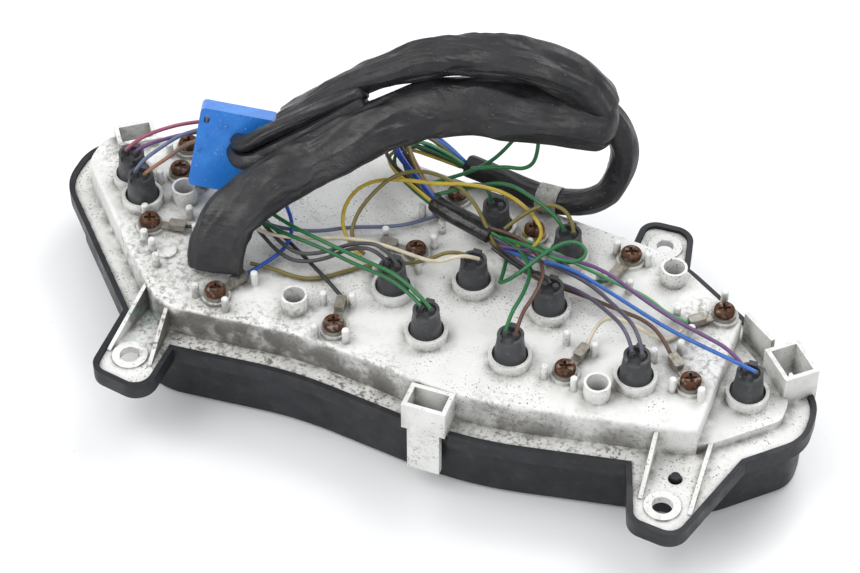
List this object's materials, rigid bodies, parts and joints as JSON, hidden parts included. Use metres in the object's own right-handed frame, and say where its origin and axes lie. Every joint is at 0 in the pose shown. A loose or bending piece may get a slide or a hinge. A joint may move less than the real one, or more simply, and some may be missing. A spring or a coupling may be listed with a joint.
{
  "type": "motorcycle instrument cluster",
  "caption": "Motorcycle instrument cluster lying lens down: white rear case with lamp holders, screw terminals, sockets and wiring loom, black front bezel, gauges inside.",
  "frame": {"origin": "middle of the case outline seen from the back (the loom left out), on the plane of the front rim that the cluster lies on", "axes": "+Z out of the back of the cluster; +X along its length towards the low end with the single lamp; -Y towards the edge with the two front tabs, the upper edge for the rider"},
  "size_m": [0.3258, 0.1579, 0.132],
  "materials": {
    "white_abs": "aged matt white plastic with dust and dark grime",
    "black_abs": "satin black",
    "seal_rubber": "soft black",
    "clear_acrylic": "clear, polished",
    "dial_print": "printed matt black",
    "telltale_film": "coloured translucent film",
    "guide_acrylic": "frosted light guide",
    "carrier_plastic": "moulded white",
    "movement_case": "moulded black",
    "needle_paint": "orange needle, dark hub",
    "plated_steel": "zinc plated, spotted with rust",
    "odometer_steel": "satin",
    "motor_can": "satin",
    "odometer_white": "moulded",
    "board_film": "brown circuit board",
    "brass": "dull",
    "holder_rubber": "dusty dark grey rubber",
    "bulb_glass": "clear",
    "tinned_copper": "dull tin, brown in places",
    "blue_nylon": "semi-gloss blue",
    "black_nylon": "matt",
    "pvc_sleeve": "soft wrinkled black PVC, dusty",
    "shrink_tube": "semi-gloss black",
    "cloth_tape": "grey, worn",
    "wire_insulation": "PVC insulation in many colours"
  },
  "bodies": {
    "housing": {"blue_connector": "blue_nylon", "brass_spacers": "brass", "bulbs": "bulb_glass", "case_screws": "plated_steel", "case_seal": "seal_rubber", "clear_lens": "clear_acrylic", "connector_insert": "black_nylon", "dial_plate": "dial_print", "front_bezel": "black_abs", "front_sleeve": "pvc_sleeve", "fuel_movement": "movement_case", "gauge_carrier": "carrier_plastic", "heat_shrink": "shrink_tube", "lamp_holder_1": "holder_rubber", "lamp_holder_10": "holder_rubber", "lamp_holder_11": "holder_rubber", "lamp_holder_2": "holder_rubber", "lamp_holder_3": "holder_rubber", "lamp_holder_4": "holder_rubber", "lamp_holder_5": "holder_rubber", "lamp_holder_6": "holder_rubber", "lamp_holder_7": "holder_rubber", "lamp_holder_8": "holder_rubber", "lamp_holder_9": "holder_rubber", "left_board": "board_film", "left_gauge_wires": "wire_insulation", "left_lamp_wires": "wire_insulation", "light_guide": "guide_acrylic", "loose_loops": "wire_insulation", "lower_lamp_wires": "wire_insulation", "middle_lamp_wires": "wire_insulation", "odometer_frame": "odometer_steel", "odometer_motor": "motor_can", "rear_case": "white_abs", "right_board": "board_film", "right_gauge_wires": "wire_insulation", "right_lamp_wires": "wire_insulation", "ring_terminals": "tinned_copper", "speedometer_movement": "movement_case", "tachometer_movement": "movement_case", "tachometer_wires": "wire_insulation", "tape_band": "cloth_tape", "telltale_windows": "telltale_film", "temperature_movement": "movement_case", "terminal_screws": "plated_steel", "trunk_sleeve": "pvc_sleeve", "upper_lamp_wires": "wire_insulation", "upper_sleeve": "pvc_sleeve", "washers": "plated_steel"},
    "speedometer_pointer": {"speedometer_needle": "needle_paint"},
    "tachometer_pointer": {"tachometer_needle": "needle_paint"},
    "temperature_pointer": {"temperature_needle": "needle_paint"},
    "fuel_pointer": {"fuel_needle": "needle_paint"},
    "odometer_drive": {"odometer_axle": "odometer_steel", "odometer_wheel_1": "odometer_white"},
    "odometer_digit_2": {"odometer_wheel_2": "odometer_white"},
    "odometer_digit_3": {"odometer_wheel_3": "odometer_white"},
    "odometer_digit_4": {"odometer_wheel_4": "odometer_white"},
    "odometer_digit_5": {"odometer_wheel_5": "odometer_white"},
    "odometer_digit_6": {"odometer_wheel_6": "odometer_white"}
  },
  "joints": [
    {"name": "speedometer_sweep", "type": "hinge", "parent": "housing", "child": "speedometer_pointer", "pos_m": [-0.054, 0.01, 0.008], "axis": [0, 0, 1], "range_deg": [0, 240]},
    {"name": "tachometer_sweep", "type": "hinge", "parent": "housing", "child": "tachometer_pointer", "pos_m": [0.072, 0.006, 0.008], "axis": [0, 0, 1], "range_deg": [0, 240]},
    {"name": "temperature_sweep", "type": "hinge", "parent": "housing", "child": "temperature_pointer", "pos_m": [-0.119, 0.0265, 0.008], "axis": [0, 0, 1], "range_deg": [0, 90]},
    {"name": "fuel_sweep", "type": "hinge", "parent": "housing", "child": "fuel_pointer", "pos_m": [0.125, 0.006, 0.008], "axis": [0, 0, 1], "range_deg": [0, 90]},
    {"name": "odometer_spin", "type": "hinge", "parent": "housing", "child": "odometer_drive", "pos_m": [-0.054, 0.031, 0.0184], "axis": [1, 0, 0], "continuous": true},
    {"name": "odometer_digit_2_spin", "type": "hinge", "parent": "housing", "child": "odometer_digit_2", "pos_m": [-0.054, 0.031, 0.0184], "axis": [1, 0, 0], "continuous": true},
    {"name": "odometer_digit_3_spin", "type": "hinge", "parent": "housing", "child": "odometer_digit_3", "pos_m": [-0.054, 0.031, 0.0184], "axis": [1, 0, 0], "continuous": true},
    {"name": "odometer_digit_4_spin", "type": "hinge", "parent": "housing", "child": "odometer_digit_4", "pos_m": [-0.054, 0.031, 0.0184], "axis": [1, 0, 0], "continuous": true},
    {"name": "odometer_digit_5_spin", "type": "hinge", "parent": "housing", "child": "odometer_digit_5", "pos_m": [-0.054, 0.031, 0.0184], "axis": [1, 0, 0], "continuous": true},
    {"name": "odometer_digit_6_spin", "type": "hinge", "parent": "housing", "child": "odometer_digit_6", "pos_m": [-0.054, 0.031, 0.0184], "axis": [1, 0, 0], "continuous": true}
  ],
  "couplings": [
    {"joint": "odometer_digit_2_spin", "follows": "odometer_spin", "ratio": 0.1},
    {"joint": "odometer_digit_3_spin", "follows": "odometer_spin", "ratio": 0.01},
    {"joint": "odometer_digit_4_spin", "follows": "odometer_spin", "ratio": 0.001},
    {"joint": "odometer_digit_5_spin", "follows": "odometer_spin", "ratio": 0.0001},
    {"joint": "odometer_digit_6_spin", "follows": "odometer_spin", "ratio": 0.00001}
  ]
}
